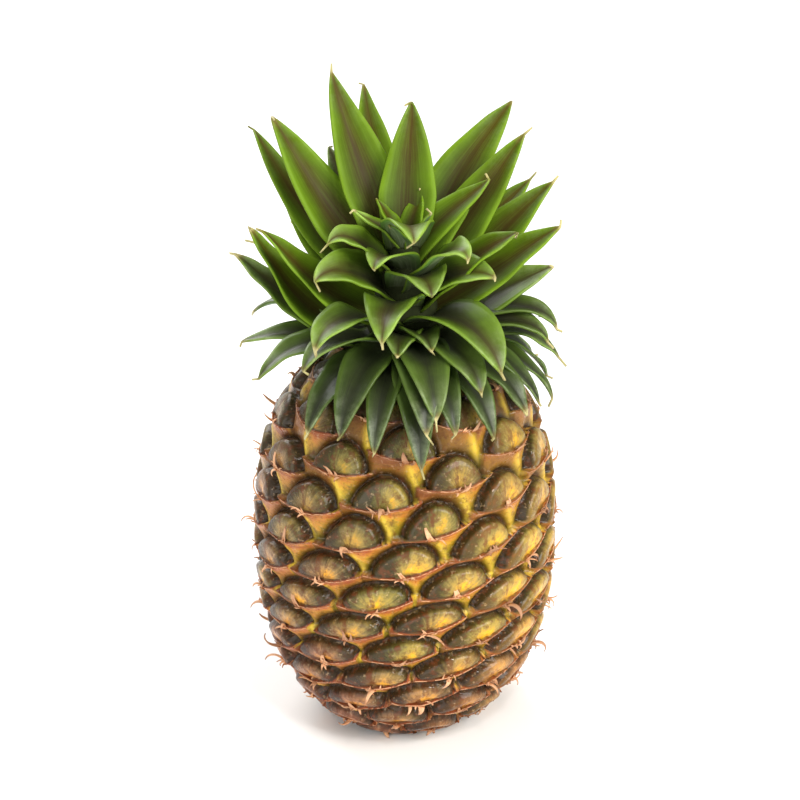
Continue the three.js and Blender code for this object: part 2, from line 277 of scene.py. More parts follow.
class CrownSettings(bpy.types.PropertyGroup):
    """Thickness, section and colours of the leaves."""

    thickness: bpy.props.FloatProperty(
        name="Thickness", description="Thickness of a leaf", default=0.0009, unit="LENGTH"
    )
    trough: bpy.props.FloatProperty(
        name="Trough", description="Depth over half the width", default=0.3, subtype="FACTOR"
    )
    young: bpy.props.FloatVectorProperty(
        name="Young leaf", description="Sides, young", subtype="COLOR", size=4, default=linear("#56720E")
    )
    flush: bpy.props.FloatVectorProperty(
        name="Flush", description="Middle when young", subtype="COLOR", size=4, default=linear("#46380A")
    )
    old: bpy.props.FloatVectorProperty(
        name="Old leaf", description="Flanks, old", subtype="COLOR", size=4, default=linear("#2F3C16")
    )
    silver: bpy.props.FloatVectorProperty(
        name="Silver", description="Scaly underside", subtype="COLOR", size=4, default=linear("#6F8458")
    )
    dry: bpy.props.FloatVectorProperty(
        name="Dry tip",
        description="A leaf's last thread", subtype="COLOR", size=4, default=linear("#B2A874")
    )


class StalkSettings(bpy.types.PropertyGroup):
    """Fibres of the cut stalk."""

    fibre_size: bpy.props.FloatProperty(
        name="Fibre size", description="Width of a bundle of fibres", default=0.0011, unit="LENGTH"
    )
    fibre: bpy.props.FloatVectorProperty(
        name="Fibre", description="Ends of the fibres", subtype="COLOR", size=4, default=linear("#D8C08A")
    )


# Materials


def new_material(name, roughness, specular=0.5, coat=0.0):
    """A material with its Principled shader's plain values set."""
    made = bpy.data.materials.new(name)
    made.use_nodes = True
    shader = made.node_tree.nodes["Principled BSDF"]
    shader.inputs["Roughness"].default_value = roughness
    shader.inputs["Specular IOR Level"].default_value = specular
    shader.inputs["Coat Weight"].default_value = coat
    shader.inputs["Coat Roughness"].default_value = 0.1
    return made, shader


def add_node(made, kind, inputs=None, stops=None, **settings):
    """Adds a shader node with its settings, its inputs' values or links, and ramp colours."""
    node = made.node_tree.nodes.new("ShaderNode" + kind)
    for name, value in settings.items():
        setattr(node, name, value)
    for name, value in (inputs or {}).items():
        socket = node.inputs[name]
        if isinstance(value, bpy.types.NodeSocket):
            made.node_tree.links.new(value, socket)
        else:
            socket.default_value = linear(value) if isinstance(value, str) else value
    for i, (position, colour) in enumerate(stops or []):
        elements = node.color_ramp.elements
        element = elements[i] if i < len(elements) else elements.new(position)
        element.position = position
        element.color = linear(colour) if isinstance(colour, str) else colour
    return node


def join(made, shader, colour, bump=None, gloss=None):
    """Links a finish's colour, bump and roughness to its shader."""
    for name, result in (("Base Color", colour), ("Normal", bump), ("Roughness", gloss)):
        if result is not None:
            made.node_tree.links.new(result, shader.inputs[name])
    return made


def rind_finish():
    """Waxy rind of grown-together eyes: olive domes with a yellow blush and a wet gleam on
    their shoulders, fleshy orange bracts with a yellow keel, and near-black painted shade in
    the grooves. Painted light yellows the right side, and painted shade darkens the top and base."""
    colours = bpy.context.scene.pineapple_rind
    made, shader = new_material("waxy_pineapple_rind", 0.34, specular=0.18, coat=0.22)
    place = add_node(made, "Attribute", attribute_name="eye_place").outputs["Vector"]
    edges = add_node(made, "Attribute", attribute_name="eye_edges").outputs["Vector"]
    # the tones attribute holds the browning, painted light on the right side, and painted shade
    tones = add_node(made, "Attribute", attribute_name="rind_tone_and_painted_light").outputs["Vector"]
    ray = add_node(made, "Attribute", attribute_name="eye_ray").outputs["Vector"]
    reach = add_node(made, "Attribute", attribute_name="dome_reach").outputs["Fac"]
    share, _, centre = add_node(made, "SeparateXYZ", {0: place}).outputs
    gap, over, ridge = add_node(made, "SeparateXYZ", {0: edges}).outputs
    brown, painted_light_right, shade = add_node(made, "SeparateXYZ", {0: tones}).outputs
    spot = add_node(made, "TexCoord").outputs["Object"]
    # mottling of the wax, in patches of 3.3 mm that break up to 0.1 mm
    mottle = add_node(
        made, "TexNoise",
        {"Vector": spot, "Scale": texture_scale(3.3), "Detail": 6.0, "Roughness": 0.7},
    ).outputs["Fac"]
    # clouds of riper and greener skin, 13 mm across
    blotch = add_node(
        made, "TexNoise", {"Vector": spot, "Scale": texture_scale(13), "Detail": 3.0}
    ).outputs["Fac"]
    # streaks 1.6 mm wide at the rim, 31 mm long, of an arch drawn as half a circle of radius 2
    streak = add_node(
        made, "TexNoise",
        {"Vector": ray, "Scale": 31 / 1.6 / (2 * pi), "Detail": 5.0, "Roughness": 0.75},
    ).outputs["Fac"]
    grain = add_node(made, "Math", {0: streak, 1: mottle}, operation="ADD").outputs[0]
    grain = add_node(made, "Math", {0: grain, 1: blotch}, operation="ADD").outputs[0]
    stir = add_node(made, "MapRange", {0: grain, 1: 1.05, 2: 1.95, 3: -0.42, 4: 0.42}).outputs[0]
    lift = add_node(made, "Math", {0: centre, 1: stir}, operation="ADD").outputs[0]

    # domes, from the ripe middle out to the rim
    fresh = add_node(
        made, "ValToRGB", {0: lift},
        [(0.0, colours.blush), (0.14, "#CE9C30"), (0.3, "#A68E3E"), (0.58, colours.olive),
         (0.82, "#524C1E"), (1.0, "#362E10")],
    ).outputs[0]
    tanned = add_node(
        made, "ValToRGB", {0: lift},
        [(0.0, "#E49C3E"), (0.2, "#C28048"), (0.4, "#9C6646"), (0.64, colours.tan),
         (0.85, "#4A3020"), (1.0, "#321E12")],
    ).outputs[0]
    dome = add_node(made, "Mix", {0: brown, 6: fresh, 7: tanned}, data_type="RGBA").outputs[2]
    # a brown seam stands up the middle of most eyes
    seam = add_node(made, "Math", {0: share, 1: 2.0, 2: 0.08}, operation="MULTIPLY_ADD").outputs[0]
    seam = add_node(made, "Math", {0: seam}, operation="ABSOLUTE").outputs[0]
    seam = add_node(made, "Math", {0: seam, 1: stir}, operation="SUBTRACT").outputs[0]
    seam = add_node(
        made, "MapRange", {0: seam, 1: 0.0, 2: 0.16, 3: 0.55, 4: 0.0}, interpolation_type="SMOOTHSTEP"
    ).outputs[0]
    dome = add_node(made, "Mix", {0: seam, 6: dome, 7: "#6A3E1C"}, data_type="RGBA").outputs[2]
    # away from the grooves, where a bract's margin and crease may show
    away = add_node(
        made, "MapRange", {0: gap, 1: 0.9, 2: 2.2}, interpolation_type="SMOOTHSTEP"
    ).outputs[0]
    # painted shade: the groove's dark colour climbs a dome's flank to 1.6 mm in from its rim
    shoulder = add_node(
        made, "MapRange", {0: gap, 1: 0.1, 2: 1.6}, interpolation_type="SMOOTHSTEP"
    ).outputs[0]
    dome = add_node(made, "Mix", {0: shoulder, 6: colours.groove, 7: dome}, data_type="RGBA").outputs[2]
    # painted shade in the fold just above a bract's margin
    crease_shade = add_node(
        made, "MapRange", {0: over, 1: 0.2, 2: 1.1, 3: 0.8, 4: 0.0}, interpolation_type="SMOOTHSTEP"
    ).outputs[0]
    crease_shade = add_node(made, "Math", {0: crease_shade, 1: away}, operation="MULTIPLY").outputs[0]
    dome = add_node(made, "Mix", {0: crease_shade, 6: dome, 7: "#4A2414"}, data_type="RGBA").outputs[2]

    # bracts, from the margin down to the lowest point
    fall = add_node(made, "MapRange", {0: over, 1: 0.0, 2: -11.0}).outputs[0]
    fall = add_node(made, "Math", {0: fall, 1: stir}, operation="ADD").outputs[0]
    ripe_bract = add_node(
        made, "ValToRGB", {0: fall},
        [(0.0, "#A45428"), (0.14, "#C47C2E"), (0.38, colours.bract), (0.65, "#96801E"), (1.0, "#565818")],
    ).outputs[0]
    brown_bract = add_node(
        made, "ValToRGB", {0: fall},
        [(0.0, "#9E5438"), (0.2, "#C47A4A"), (0.5, "#B8743E"), (0.75, "#84522C"), (1.0, "#4E3420")],
    ).outputs[0]
    bract = add_node(
        made, "Mix", {0: brown, 6: ripe_bract, 7: brown_bract}, data_type="RGBA"
    ).outputs[2]
    # painted shade: the face of each bract left of its keel, turned from the light, is darker
    left_face_shade = add_node(
        made, "MapRange", {0: centre, 1: 0.2, 2: 0.6, 3: 0.75, 4: 0.0}, interpolation_type="SMOOTHSTEP"
    ).outputs[0]
    crest = add_node(made, "Math", {0: ridge, 1: 0.85}, operation="MULTIPLY").outputs[0]
    # painted shade: each bract darkens towards the grooves
    groove_shade = add_node(
        made, "MapRange", {0: gap, 1: 0.2, 2: 3.9, 3: 0.95, 4: 0.0}, interpolation_type="SMOOTHSTEP"
    ).outputs[0]
    hem = add_node(
        made, "MapRange", {0: over, 1: -0.8, 2: -0.1, 3: 0.0, 4: 0.7}, interpolation_type="SMOOTHSTEP"
    ).outputs[0]
    hem = add_node(made, "Math", {0: hem, 1: away}, operation="MULTIPLY").outputs[0]
    layers = (
        (left_face_shade, "#74441C"), (crest, colours.keel),
        (groove_shade, colours.groove), (hem, "#8A3F1E"),
    )
    for amount, tone in layers:
        bract = add_node(made, "Mix", {0: amount, 6: bract, 7: tone}, data_type="RGBA").outputs[2]

    side = add_node(
        made, "MapRange", {0: reach, 1: -0.3, 2: 0.3}, interpolation_type="SMOOTHSTEP"
    ).outputs[0]
    colour = add_node(made, "Mix", {0: side, 6: bract, 7: dome}, data_type="RGBA").outputs[2]
    worn = add_node(made, "MapRange", {0: mottle, 1: 0.5, 2: 0.64, 3: 0.0, 4: 0.65}).outputs[0]
    # scurf is dust of 0.3 mm, drawn as flecks up to 1.9 mm because dust is too fine to show
    fleck = add_node(
        made, "TexNoise",
        {"Vector": spot, "Scale": texture_scale(1.9), "Detail": 3.0, "Roughness": 0.6},
    ).outputs["Fac"]
    scurf = add_node(made, "MapRange", {0: fleck, 1: 0.6, 2: 0.74, 3: 0.0, 4: 0.4}).outputs[0]
    # painted light: the right side, towards the key light, is yellower
    painted_light_tint = add_node(made, "Math", {0: painted_light_right, 1: away}, operation="MULTIPLY").outputs[0]
    painted_light_tint = add_node(made, "Math", {0: painted_light_tint, 1: 0.16}, operation="MULTIPLY").outputs[0]
    # of these layers, the yellow tint is painted light on the right side, and the last is painted shade
    # under the crown and at the floor
    for amount, tone in ((worn, "#683416"), (scurf, "#D9B88A"), (painted_light_tint, "#E6A83C"), (shade, "#2A2416")):
        colour = add_node(made, "Mix", {0: amount, 6: colour, 7: tone}, data_type="RGBA").outputs[2]
    gloss = add_node(made, "MapRange", {0: mottle, 1: 0.3, 2: 0.7, 3: 0.22, 4: 0.5}).outputs[0]
    rim = add_node(
        made, "MapRange", {0: gap, 1: 0.0, 2: 1.6}, interpolation_type="SMOOTHSTEP"
    ).outputs[0]
    rim = add_node(made, "Bump", {"Height": rim, "Strength": 0.6, "Distance": 0.0008}).outputs[0]
    bump = add_node(
        made, "Bump", {"Height": grain, "Strength": 0.7, "Distance": 0.0006, "Normal": rim}
    ).outputs[0]
    return join(made, shader, colour, bump, gloss)


def bract_finish():
    """Dry papery bract: reddish brown where it leaves the flesh, pinkish tan and brittle
    towards its point."""
    colours = bpy.context.scene.pineapple_bracts
    made, shader = new_material("dry_papery_bract", 0.6, specular=0.35)
    place = add_node(made, "Attribute", attribute_name="bract_place").outputs["Vector"]
    up, pick, free = add_node(made, "SeparateXYZ", {0: place}).outputs
    spot = add_node(made, "TexCoord").outputs["Object"]
    # dry cells and torn fibres in patches of 2.4 mm
    mottle = add_node(
        made, "TexNoise",
        {"Vector": spot, "Scale": texture_scale(2.4), "Detail": 5.0, "Roughness": 0.7},
    ).outputs["Fac"]
    stir = add_node(made, "MapRange", {0: mottle, 1: 0.3, 2: 0.7, 3: -0.3, 4: 0.3}).outputs[0]
    height = add_node(made, "Math", {0: up, 1: stir}, operation="ADD").outputs[0]
    hem = add_node(
        made, "ValToRGB", {0: height},
        [(0.0, "#BE7C30"), (0.35, "#A05028"), (0.6, colours.hem), (1.0, "#C8946C")],
    ).outputs[0]
    tip = add_node(
        made, "ValToRGB", {0: height},
        [(0.0, "#B0662E"), (0.3, colours.straw), (0.7, "#D2A078"), (1.0, "#A06C48")],
    ).outputs[0]
    colour = add_node(made, "Mix", {0: free, 6: hem, 7: tip}, data_type="RGBA").outputs[2]
    dull = add_node(made, "MapRange", {0: pick, 1: 0.4, 2: 1.0, 3: 0.0, 4: 0.55}).outputs[0]
    colour = add_node(made, "Mix", {0: dull, 6: colour, 7: "#6E4630"}, data_type="RGBA").outputs[2]
    bump = add_node(made, "Bump", {"Height": mottle, "Strength": 0.4, "Distance": 0.0003}).outputs[0]
    return join(made, shader, colour, bump)


def blade_nodes(made):
    """What both faces of a leaf read: distance from its middle, place along it, age, how much
    lighter wax, painted sheen and painted shade it gets, and noise drawn out along the veins."""
    place = add_node(made, "UVMap", uv_map="blade").outputs["UV"]
    kind = add_node(made, "Attribute", attribute_name="leaf_kind").outputs["Vector"]
    across, along, _ = add_node(made, "SeparateXYZ", {0: place}).outputs
    age, pick, bloom_sheen_shade = add_node(made, "SeparateXYZ", {0: kind}).outputs
    side = add_node(made, "Math", {0: across, 1: 2.0, 2: -1.0}, operation="MULTIPLY_ADD").outputs[0]
    side = add_node(made, "Math", {0: side}, operation="ABSOLUTE").outputs[0]
    offset = add_node(made, "Math", {0: pick, 1: 50.0}, operation="MULTIPLY").outputs[0]
    # veins 0.4 mm apart are too fine to show, so on a leaf of 24 by 75 mm they are drawn
    # 0.8 mm apart, in streaks 25 mm long
    streak = add_node(
        made, "VectorMath", {0: place, 1: (24 / 0.8, 75 / 25, 0.0)}, operation="MULTIPLY"
    ).outputs[0]
    veins = add_node(
        made, "TexNoise",
        {"Vector": streak, "W": offset, "Scale": 1.0, "Detail": 4.0, "Roughness": 0.6},
        noise_dimensions="4D",
    ).outputs["Fac"]
    return side, along, age, bloom_sheen_shade, veins


def leaf_finish(name, specular):
    """Upper face of a leaf: fresh green sides and a dark olive-brown band along the trough
    when young, deep green and greyer when old, and dry at the very tip. Young leaves are
    satin and old ones have a waxy sheen. Painted shade darkens the root, and a lighter green
    where a leaf bends over is partly whitish wax and partly painted sheen."""
    colours = bpy.context.scene.pineapple_crown
    made, shader = new_material(name, 0.4, specular)
    side, along, age, bloom_sheen_shade, veins = blade_nodes(made)
    spot = add_node(made, "TexCoord").outputs["Object"]
    # paler and darker patches of the wax, 24 mm across
    cloud = add_node(
        made, "TexNoise", {"Vector": spot, "Scale": texture_scale(24), "Detail": 4.0}
    ).outputs["Fac"]
    stir = add_node(made, "MapRange", {0: cloud, 1: 0.3, 2: 0.7, 3: -0.22, 4: 0.22}).outputs[0]
    spread = add_node(made, "Math", {0: side, 1: stir}, operation="ADD").outputs[0]
    young = add_node(
        made, "ValToRGB", {0: spread},
        [(0.0, colours.flush), (0.25, "#454509"), (0.5, "#495C08"), (0.8, colours.young),
         (1.0, "#628214")],
    ).outputs[0]
    old = add_node(
        made, "ValToRGB", {0: spread},
        [(0.0, "#232617"), (0.3, "#242A14"), (0.65, colours.old), (1.0, "#3A4C1C")],
    ).outputs[0]
    colour = add_node(made, "Mix", {0: age, 6: young, 7: old}, data_type="RGBA").outputs[2]
    lines = add_node(made, "MapRange", {0: veins, 1: 0.45, 2: 0.75, 3: 0.0, 4: 0.3}).outputs[0]
    fresh = add_node(made, "Math", {0: age, 1: -0.7, 2: 1.0}, operation="MULTIPLY_ADD").outputs[0]
    lines = add_node(made, "Math", {0: lines, 1: fresh}, operation="MULTIPLY").outputs[0]
    # a paler green on the part of a leaf that bends over, out of the shade: partly the leaf's whitish wax
    # and partly painted sheen
    bend = add_node(made, "Math", {0: along, 1: stir}, operation="ADD").outputs[0]
    bend = add_node(
        made, "MapRange", {0: bend, 1: 0.45, 2: 0.95}, interpolation_type="SMOOTHSTEP"
    ).outputs[0]
    bloom_and_sheen = bloom_sheen_shade
    for part in (bend, spread, fresh):
        bloom_and_sheen = add_node(made, "Math", {0: bloom_and_sheen, 1: part}, operation="MULTIPLY").outputs[0]
    # painted shade: near-black towards the root, deep in the crown, and furthest out along the trough
    open_part = add_node(made, "Math", {0: spread, 1: 0.5, 2: along}, operation="MULTIPLY_ADD").outputs[0]
    deep = add_node(
        made, "MapRange", {0: open_part, 1: 0.3, 2: 0.9, 3: 0.85, 4: 0.0},
        interpolation_type="SMOOTHSTEP",
    ).outputs[0]
    strength = add_node(made, "MapRange", {0: bloom_sheen_shade, 1: 0.0, 2: 0.3, 3: 0.5, 4: 1.0}).outputs[0]
    deep = add_node(made, "Math", {0: deep, 1: strength}, operation="MULTIPLY").outputs[0]
    edge = add_node(made, "MapRange", {0: side, 1: 0.72, 2: 1.0, 3: 0.0, 4: 0.3}).outputs[0]
    edge = add_node(made, "Math", {0: edge, 1: fresh}, operation="MULTIPLY").outputs[0]
    # pale scurf gathers towards the tip and along the margins of old leaves, in 4 mm patches
    dust = add_node(
        made, "TexNoise",
        {"Vector": spot, "Scale": texture_scale(4), "Detail": 6.0, "Roughness": 0.75},
    ).outputs["Fac"]
    dust = add_node(made, "MapRange", {0: dust, 1: 0.42, 2: 0.66}).outputs[0]
    outer = add_node(made, "MapRange", {0: along, 1: 0.6, 2: 1.0, 3: 0.05, 4: 1.0}).outputs[0]
    outer = add_node(made, "Math", {0: outer, 1: side}, operation="MULTIPLY").outputs[0]
    worn = add_node(made, "MapRange", {0: age, 1: 0.0, 2: 0.5, 3: 0.25, 4: 1.0}).outputs[0]
    for part in (outer, worn, 0.45):
        dust = add_node(made, "Math", {0: dust, 1: part}, operation="MULTIPLY").outputs[0]
    fray = add_node(made, "MapRange", {0: cloud, 1: 0.3, 2: 0.7, 3: -0.05, 4: 0.05}).outputs[0]
    end = add_node(made, "Math", {0: along, 1: fray}, operation="ADD").outputs[0]
    scorch = add_node(
        made, "MapRange", {0: end, 1: 0.9, 2: 0.98, 4: 0.75}, interpolation_type="SMOOTHSTEP"
    ).outputs[0]
    dry = add_node(made, "MapRange", {0: end, 1: 0.95, 2: 0.99}, interpolation_type="SMOOTHSTEP").outputs[0]
    layers = (
        (lines, "#6E8E2A"), (bloom_and_sheen, "#9ABA50"), (deep, "#26281E"), (edge, "#7E9C2A"),
        (dust, "#BEC49E"), (scorch, "#7A6834"), (dry, colours.dry),
    )
    for amount, tone in layers:
        colour = add_node(made, "Mix", {0: amount, 6: colour, 7: tone}, data_type="RGBA").outputs[2]
    gloss = add_node(made, "Math", {0: age, 1: -0.14, 2: 0.46}, operation="MULTIPLY_ADD").outputs[0]
    bump = add_node(made, "Bump", {"Height": veins, "Strength": 0.3, "Distance": 0.0003}).outputs[0]
    return join(made, shader, colour, bump, gloss)


def underside_finish():
    """Scaly underside of a leaf: silvery grey-green with fine lines, greener at the margins
    and wine-tinged near the root."""
    colours = bpy.context.scene.pineapple_crown
    made, shader = new_material("silvery_leaf_underside", 0.5, specular=0.4)
    side, along, _, _, veins = blade_nodes(made)
    colour = add_node(
        made, "ValToRGB", {0: veins}, [(0.25, "#46592F"), (0.5, colours.silver), (0.75, "#A3B08C")]
    ).outputs[0]
    green = add_node(made, "MapRange", {0: side, 1: 0.55, 2: 1.0, 3: 0.0, 4: 0.9}).outputs[0]
    wine = add_node(made, "MapRange", {0: along, 1: 0.05, 2: 0.5, 3: 0.6, 4: 0.0}).outputs[0]
    dry = add_node(made, "MapRange", {0: along, 1: 0.92, 2: 0.96}).outputs[0]
    for amount, tone in ((green, "#4E7E20"), (wine, "#3A2C26"), (dry, "#B4AC80")):
        colour = add_node(made, "Mix", {0: amount, 6: colour, 7: tone}, data_type="RGBA").outputs[2]
    bump = add_node(made, "Bump", {"Height": veins, "Strength": 0.4, "Distance": 0.0003}).outputs[0]
    return join(made, shader, colour, bump)


def stalk_finish():
    """Dry cut stalk: pale straw fibres seen end on, darker between the bundles."""
    stalk = bpy.context.scene.pineapple_stalk
    made, shader = new_material("dry_cut_stalk_fibre", 0.85, specular=0.25)
    spot = add_node(made, "TexCoord").outputs["Object"]
    # bundles of fibres seen end on, each a cell of the pattern
    fibres = add_node(
        made, "TexVoronoi", {"Vector": spot, "Scale": texture_scale(stalk.fibre_size / MM)}
    ).outputs["Distance"]
    # stains from the cut, 4.5 mm across
    cloud = add_node(
        made, "TexNoise", {"Vector": spot, "Scale": texture_scale(4.5), "Detail": 4.0}
    ).outputs["Fac"]
    colour = add_node(
        made, "ValToRGB", {0: fibres}, [(0.0, stalk.fibre), (0.5, "#B89660"), (1.0, "#7A5A34")]
    ).outputs[0]
    stain = add_node(made, "MapRange", {0: cloud, 1: 0.4, 2: 0.7, 3: 0.0, 4: 0.5}).outputs[0]
    colour = add_node(made, "Mix", {0: stain, 6: colour, 7: "#8A6A40"}, data_type="RGBA").outputs[2]
    bump = add_node(made, "Bump", {"Height": fibres, "Strength": 0.6, "Distance": 0.0004}).outputs[0]
    return join(made, shader, colour, bump)


def stem_finish():
    """The crown's short stem: dull green flesh darkened as painted shade, since it stands in the shade of
    the leaf bases.
    """
    made, shader = new_material("dull_crown_stem", 0.8, specular=0.1)
    spot = add_node(made, "TexCoord").outputs["Object"]
    # scars of fallen leaves, 8 mm across
    cloud = add_node(
        made, "TexNoise", {"Vector": spot, "Scale": texture_scale(8), "Detail": 4.0}
    ).outputs["Fac"]
    # dark greens: painted shade of the leaf bases over the stem
    colour = add_node(made, "ValToRGB", {0: cloud}, [(0.3, "#1E2412"), (0.7, "#343A1E")]).outputs[0]
    return join(made, shader, colour)


# The barrel


def trace_skin(samples=800):
    """The barrel's outline from pole to pole: radius, height, normal, length and eye count."""
    swing = (np.arange(samples + 1) / samples - 0.5) * pi
    half = np.where(swing > 0, UPPER_HALF, LOWER_HALF)
    z = BELLY_HEIGHT + half * np.sin(swing)
    power = np.where(z > BELLY_HEIGHT, UPPER_SQUARENESS, LOWER_SQUARENESS)
    r = FRUIT_RADIUS * np.maximum(0, 1 - (np.abs(z - BELLY_HEIGHT) / half) ** power) ** (1 / power)
    slope = np.arctan2(np.gradient(z), np.gradient(r))
    step = np.hypot(np.diff(r), np.diff(z))
    eyes = pi * (r[1:] + r[:-1]) * step / (EYE_AREA * (1 + EYE_GROWTH * (z[1:] - BELLY_HEIGHT)))
    return {
        "r": r,
        "z": z,
        "nr": np.sin(slope),
        "nz": -np.cos(slope),
        "s": np.append(0, np.cumsum(step)),
        "eyes": np.append(0, np.cumsum(eyes)),
    }


SKIN = trace_skin()


def on_skin(key, s):
    """A value of the barrel's outline at a length along it."""
    return np.interp(s, SKIN["s"], SKIN[key])


def skin_frame(azimuth, s):
    """Points on the barrel, with the directions out of it, up it and round it."""
    r, z, nr, nz = (on_skin(key, s) for key in ("r", "z", "nr", "nz"))
    x, y = np.sin(azimuth), -np.cos(azimuth)
    flat = np.zeros_like(z)
    point = np.stack([x * r, y * r, z], axis=-1)
    out = np.stack([x * nr, y * nr, nz], axis=-1)
    up = np.stack([-x * nz, -y * nz, nr], axis=-1)
    return point, out, up, np.stack([-y, x, flat], axis=-1)


def place_eyes():
    """Azimuth and length of each eye, on one spiral."""
    count = np.arange(int(SKIN["eyes"][-1]))
    s = np.interp(count + FIRST_EYE_SHARE, SKIN["eyes"], SKIN["s"])
    clear = np.where(on_skin("z", s) > BELLY_HEIGHT, CROWN_CLEAR, STALK_CLEAR)
    kept = on_skin("r", s) >= clear
    return (FIRST_EYE_AZIMUTH + EYE_TURN * count)[kept], s[kept]


EYE_AZIMUTH, EYE_LENGTH = place_eyes()
EYE_RADIUS = on_skin("r", EYE_LENGTH)
EYE_RIPENESS = smooth(62, 112, on_skin("z", EYE_LENGTH))  # 0 low on the fruit, 1 near the crown


def near_eyes(azimuth, s):
    """The nearest eyes of each place, nearest first, and the place as seen from each."""
    turn = (azimuth[:, None] - EYE_AZIMUTH + pi) % (2 * pi) - pi
    across = turn * (on_skin("r", s)[:, None] + EYE_RADIUS) / 2
    up = s[:, None] - EYE_LENGTH
    distance = across**2 + (CELL_SQUASH * up) ** 2
    near = np.argpartition(distance, NEAR_EYES, axis=1)[:, :NEAR_EYES]
    rows = np.arange(len(s))[:, None]
    order = np.argsort(distance[rows, near], axis=1)
    near = near[rows, order]
    return near, across[rows, near], up[rows, near]


def measure_cells():
    """Left, right, top and bottom corner of each eye's cell, seen from the eye."""
    azimuth, s = np.meshgrid(np.linspace(-pi, pi, 450, endpoint=False), np.arange(2, SKIN["s"][-1], 0.9))
    near, across, up = near_eyes(azimuth.ravel(), s.ravel())
    corners = np.zeros((len(EYE_LENGTH), 4, 2))
    for i in range(len(EYE_LENGTH)):
        mine = near[:, 0] == i
        u, v = across[mine, 0], up[mine, 0]
        for j, k in enumerate((u.argmin(), u.argmax(), v.argmax(), v.argmin())):
            corners[i, j] = u[k], v[k]
    return corners


CELLS = measure_cells()


def margin(eye, across):
    """Height of a bract's margin over its eye's middle, and the place along it, -1 to 1."""
    left, right = CELLS[eye, 0], CELLS[eye, 1]
    share = np.where(across < 0, -across / left[..., 0], across / right[..., 0])
    rise = np.where(across < 0, -share * left[..., 1], share * right[..., 1])
    return rise - MARGIN_SAG * (1 - np.minimum(1, share**2)), share


def relief(azimuth, s):
    """Height of the rind over the barrel at each place, and what its material reads there."""
    sizes = bpy.context.scene.pineapple_rind
    groove, keel = sizes.groove_depth / MM, sizes.ridge_rise / MM
    near, across, up = near_eyes(azimuth, s)
    rows = np.arange(len(s))
    line, share = margin(near, across)
    over = up - line
    left, right, top, bottom = (CELLS[near, k] for k in range(4))
    # each dome is half a rounded arch that stands on the margin of its own bract
    peak = (left[..., 0] + right[..., 0]) / 2 + 1
    half = np.where(across < peak, peak - left[..., 0], right[..., 0] - peak)
    width = (0.97 - 0.22 * EYE_RIPENESS[near]) * half
    tall = (DOME_SHARE + 0.24 * EYE_RIPENESS[near]) * (top[..., 1] - margin(near, peak)[0])
    arch = (np.abs(across - peak) / width) ** DOME_POWER + (np.maximum(over, 0) / tall) ** DOME_POWER
    arch = np.maximum(arch ** (1 / DOME_POWER), 0.01)
    from_rim = np.hypot(across - peak, np.maximum(over, 0)) * np.abs(1 - 1 / arch)
    above = over > 0
    in_dome = above & (arch < 1)
    dome_of = np.where(in_dome, arch, 9).argmin(axis=1)
    inside = in_dome[rows, dome_of]
    under = np.where((~above) & (np.abs(share) < 1.02), -over, 99)
    bract_of = under.argmin(axis=1)
    bract_of = np.where(under[rows, bract_of] > 90, 0, bract_of)
    own = np.where(inside, dome_of, bract_of)
    gap_out = np.where(above & (arch > 1), from_rim, 20).min(axis=1)
    gap = np.where(inside, np.minimum(from_rim[rows, own], 20), gap_out)
    share, over = share[rows, own], over[rows, own]
    eye = near[rows, own]
    seen_across = across[rows, own]

    inner = np.clip(gap / DOME_ROUNDNESS, 0, 1)
    dome = -groove + (groove + sizes.dome_rise / MM) * np.sqrt(1 - (1 - inner) ** 2)
    dome -= DOME_HOLLOW * smooth(0.35, 1.0, 1 - arch[rows, own])
    dome -= CREASE_DEPTH * np.exp(-((over / CREASE_WIDTH) ** 2))
    below = np.maximum(-over, 0)
    hold = gap / (gap + below + 1e-6)
    bract = -groove + (groove + sizes.bract_rise / MM) * hold**0.7
    deep = margin(eye, CELLS[eye, 3, 0])[0] - CELLS[eye, 3, 1]
    fall = np.clip(below / deep, 0, 1)
    beside = seen_across - CELLS[eye, 3, 0] * fall
    ridge = np.exp(-((beside / KEEL_WIDTH) ** 2)) * smooth(0.05, 0.35, fall)
    bract += keel * ridge * smooth(0.0, 3.0, gap)
    height = np.where(inside, dome, bract)
    shaded = smooth(SHADED_ABOVE, SHADED_ABOVE + SHADED_DEPTH, on_skin("z", s))
    height = height * (1 - 0.45 * shaded) * smooth(14, 22, on_skin("r", s))

    reach = np.where(inside, np.minimum(gap, over), -np.minimum(gap, below))
    along = np.where(inside, over / tall[rows, own], -fall)
    return {
        "height": height,
        "eye": eye,
        "share": share,
        "along": along,
        "gap": gap,
        "over": over,
        "ridge": np.where(inside, 0, ridge),
        "beside": np.where(inside, 0, beside),
        "reach": reach,
    }


def add_values(mesh, name, kind, *values):
    """A float or vector attribute on a mesh's points."""
    attribute = mesh.attributes.new(name, kind, "POINT")
    key = "value" if kind == "FLOAT" else "vector"
    attribute.data.foreach_set(key, np.stack(values, axis=-1).astype(np.float32).ravel())


def finish_piece(bm, name, finishes, replaced):
    """A bmesh as a finished piece that rides on the fruit's body."""
    mesh = bpy.data.meshes.new(name)
    bm.to_mesh(mesh)
    bm.free()
    mesh.polygons.foreach_set("use_smooth", [True] * len(mesh.polygons))
    for made in finishes:
        mesh.materials.append(made)
    piece = bpy.data.objects.new(name, mesh)
    bpy.context.scene.collection.objects.link(piece)
    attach(piece, "root")
    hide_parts(replaced)
    return piece


